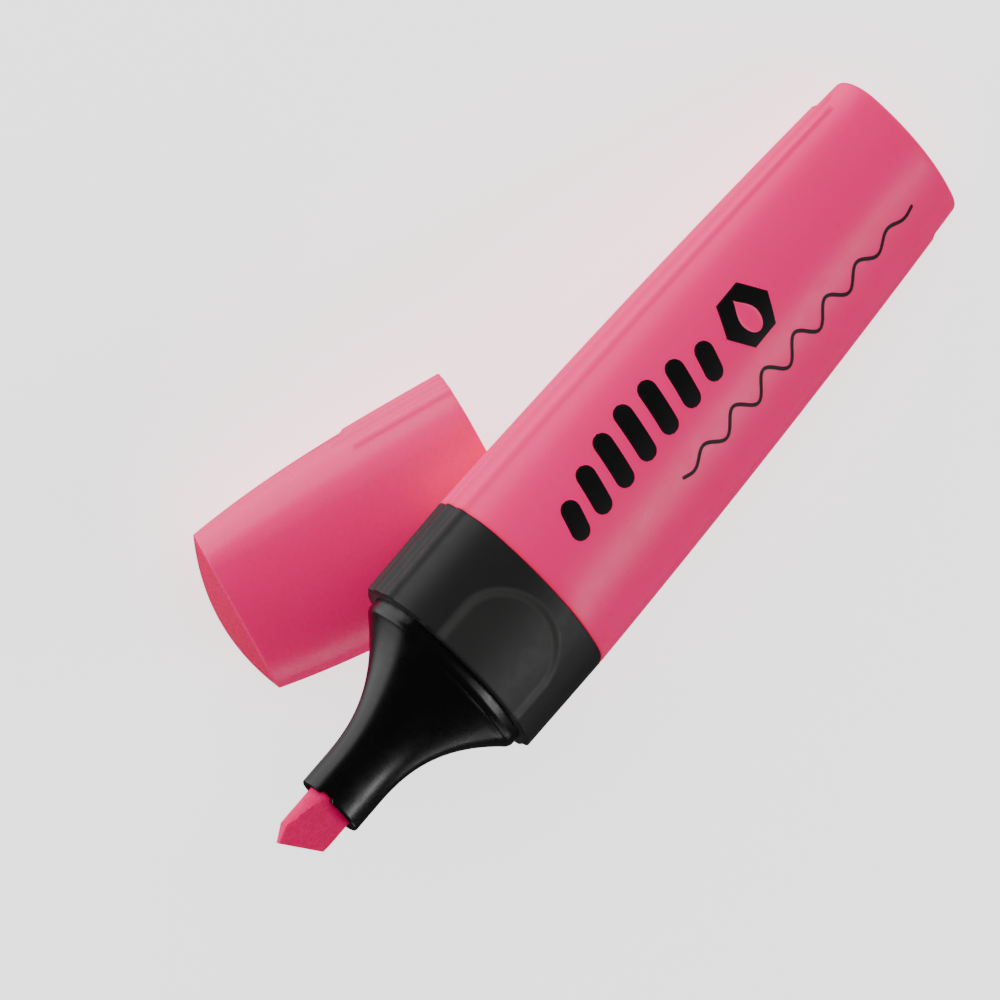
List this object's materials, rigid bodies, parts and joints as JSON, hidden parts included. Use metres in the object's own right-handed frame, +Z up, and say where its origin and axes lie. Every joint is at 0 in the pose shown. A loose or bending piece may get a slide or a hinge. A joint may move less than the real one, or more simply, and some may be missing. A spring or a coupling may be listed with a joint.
{
  "type": "highlighter",
  "caption": "Oval highlighter shown open: a pink barrel, black ribbed grip and slanted fibre nib lean across its own pink cap.",
  "frame": {"origin": "middle of the whole object's box, on the table that it lies on", "axes": "+Z up from the table, +X along the cap from its mouth to its closed end, which is roughly the way the nib points"},
  "size_m": [0.1078, 0.0418, 0.0395],
  "materials": {
    "pink_shell": "injection-moulded polypropylene, satin gloss, lightly scuffed",
    "black_grip": "fine spark-eroded grain, satin black",
    "black_gloss": "polished moulded plastic",
    "nib_fibre": "bonded polyester fibre, soaked with pink ink",
    "core_fibre": "loose bonded fibre, soaked with ink",
    "clear_film": "thin clear polypropylene film",
    "pink_cap": "injection-moulded polypropylene, satin gloss, slightly translucent"
  },
  "bodies": {
    "pen": {"barrel": "pink_shell", "grip_collar": "black_grip", "nib_holder": "black_gloss", "nib": "nib_fibre", "ink_reservoir": "core_fibre", "reservoir_film": "clear_film"},
    "cap": {"cap_shell": "pink_cap", "cap_seal": "pink_cap"}
  },
  "joints": [
    {"name": "cap_slide", "type": "slide", "parent": "pen", "child": "cap", "axis": [1, 0, 0], "range_m": [0, 0.06]}
  ]
}
